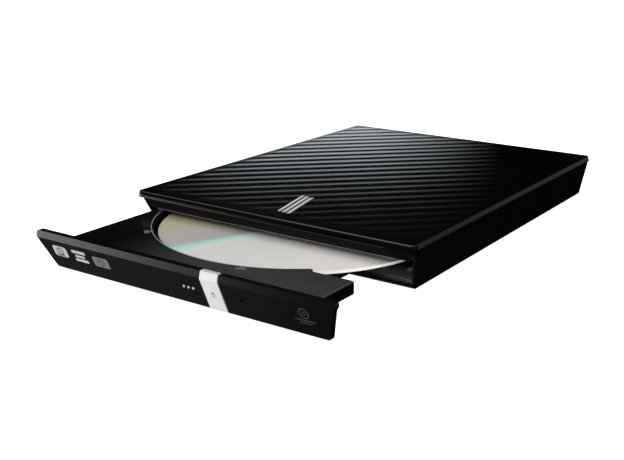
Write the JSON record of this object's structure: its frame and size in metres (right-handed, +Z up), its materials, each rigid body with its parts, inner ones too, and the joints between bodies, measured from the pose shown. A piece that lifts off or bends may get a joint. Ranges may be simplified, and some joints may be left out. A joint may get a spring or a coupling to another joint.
{
  "type": "external optical drive",
  "caption": "Low rectangular external optical drive with a ridged lid and a sliding tray that carries a disc over a laser sled.",
  "frame": {"origin": "centre of the footprint on the surface the feet stand on, with the tray as stored", "axes": "+X to the right seen from the bezel, +Y from the bezel towards the sockets, +Z up"},
  "size_m": [0.142, 0.2258, 0.0211],
  "materials": {
    "black_gloss": "gloss",
    "black_satin": "satin",
    "silver": "satin silver",
    "pale_mark": "printed",
    "grey_mark": "printed",
    "tab_grey": "moulded",
    "light_pipe": "clear",
    "steel_sheet": "pressed sheet",
    "bright_steel": "ground",
    "screw_steel": "dark screw",
    "white_plastic": "moulded",
    "board_green": "solder mask",
    "chip_black": "moulded",
    "rubber": "matte",
    "hub_plastic": "moulded",
    "disc_metal": "reflective under clear plastic",
    "cast_sled": "cast",
    "ribbon": "film",
    "lens_glass": "clear"
  },
  "bodies": {
    "case": {"top_cover": "black_gloss", "lid_badge": "silver", "bottom_case": "black_gloss", "front_fascia": "black_gloss", "feet": "rubber", "case_screws": "screw_steel", "bridge_board": "board_green", "board_screws": "screw_steel", "bridge_chip": "chip_black", "crystal": "steel_sheet", "capacitors": "chip_black", "usb_socket": "steel_sheet", "power_jack": "black_satin", "power_jack_pin": "bright_steel", "sata_socket": "chip_black", "chassis_pan": "steel_sheet", "chassis_lid": "steel_sheet", "guide_left": "white_plastic", "guide_right": "white_plastic", "main_board": "board_green", "main_chips": "chip_black", "drive_connector": "chip_black", "latch_post": "bright_steel", "flex_cable": "ribbon"},
    "rails": {"rail_left": "steel_sheet", "rail_right": "steel_sheet"},
    "tray": {"tray": "black_satin", "bezel": "black_gloss", "disc_tabs": "tab_grey", "format_tiles": "pale_mark", "disc_pictogram": "grey_mark", "light_pipes": "light_pipe", "eject_switch": "steel_sheet", "tray_board": "board_green", "sled_frame": "steel_sheet", "rod_clips": "black_satin", "damper_pads": "rubber", "frame_screws": "screw_steel", "guide_rods": "bright_steel", "spindle_motor": "steel_sheet", "feed_motor": "steel_sheet", "screw_bracket": "steel_sheet", "sled_cover": "steel_sheet", "latch_pin": "bright_steel", "latch_solenoid": "steel_sheet"},
    "button": {"eject_button": "silver"},
    "spindle": {"turntable": "hub_plastic", "turntable_pad": "rubber", "clamp_balls": "bright_steel", "disc": "disc_metal"},
    "sled": {"laser_sled": "cast_sled", "lens_holder": "black_satin", "lens": "lens_glass"},
    "lead_screw": {"lead_screw": "bright_steel"},
    "latch": {"latch_lever": "white_plastic"}
  },
  "joints": [
    {"name": "tray_slide", "type": "slide", "parent": "case", "child": "tray", "axis": [0, 1, 0], "range_m": [-0.0888, 0.0512], "deforming": ["flex_cable"]},
    {"name": "rail_slide", "type": "slide", "parent": "case", "child": "rails", "axis": [0, 1, 0], "range_m": [-0.0444, 0.0256]},
    {"name": "eject_press", "type": "slide", "parent": "tray", "child": "button", "axis": [0, 1, 0], "range_m": [0, 0.0006], "stiffness_N_per_m": 1200, "springref_m": -0.0004},
    {"name": "spindle_spin", "type": "hinge", "parent": "tray", "child": "spindle", "pos_m": [0, -0.03268, 0.0097], "axis": [0, 0, 1], "continuous": true},
    {"name": "sled_slide", "type": "slide", "parent": "tray", "child": "sled", "axis": [0, -1, 0], "range_m": [-0.001, 0.033]},
    {"name": "screw_turn", "type": "hinge", "parent": "tray", "child": "lead_screw", "pos_m": [-0.0255, -0.06968, 0.0056], "axis": [0, 1, 0], "range_deg": [-130, 3980]},
    {"name": "latch_swing", "type": "hinge", "parent": "tray", "child": "latch", "pos_m": [-0.053, -0.09567, 0.0044], "axis": [0, 0, 1], "range_deg": [-16, 4], "stiffness_Nm_per_rad": 0.002}
  ],
  "couplings": [
    {"joint": "rail_slide", "follows": "tray_slide", "ratio": 0.5},
    {"joint": "screw_turn", "follows": "sled_slide", "rad_per_m": 2094.4}
  ]
}
